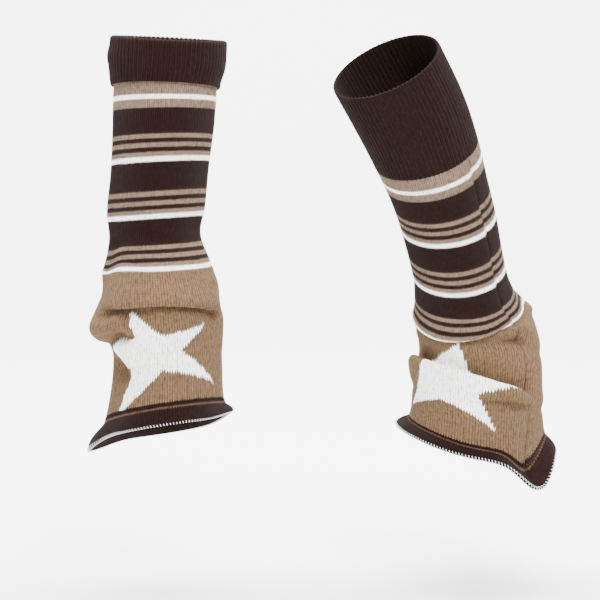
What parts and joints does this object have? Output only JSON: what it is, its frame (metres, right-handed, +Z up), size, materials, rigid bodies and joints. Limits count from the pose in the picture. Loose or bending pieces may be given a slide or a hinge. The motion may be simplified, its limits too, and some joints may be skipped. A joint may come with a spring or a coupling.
{
  "type": "pair of leg warmers",
  "caption": "Pair of knitted leg warmers as worn: ribbed calf cuffs, striped upper, tan lower part with a star on the front, slouched folds and a flared dark hem, each an open tube.",
  "frame": {"origin": "the centre of the left leg warmer's cuff, where the calf grips it", "axes": "+Z up along the calf, +X to the viewer's right, -Y towards the viewer, the side with the star"},
  "size_m": [0.4477, 0.2284, 0.4261],
  "materials": {
    "cuff_knit": "matte ribbed knit, dark brown",
    "body_knit": "matte plain knit, heathered tan with brown, beige and white stripes and a white star",
    "hem_knit": "matte plain knit, dark brown, white overlock edge"
  },
  "bodies": {
    "root": {"left_cuff": "cuff_knit", "left_front": "body_knit", "left_back": "body_knit", "left_hem": "hem_knit", "right_cuff": "cuff_knit", "right_front": "body_knit", "right_back": "body_knit", "right_hem": "hem_knit"}
  },
  "joints": []
}
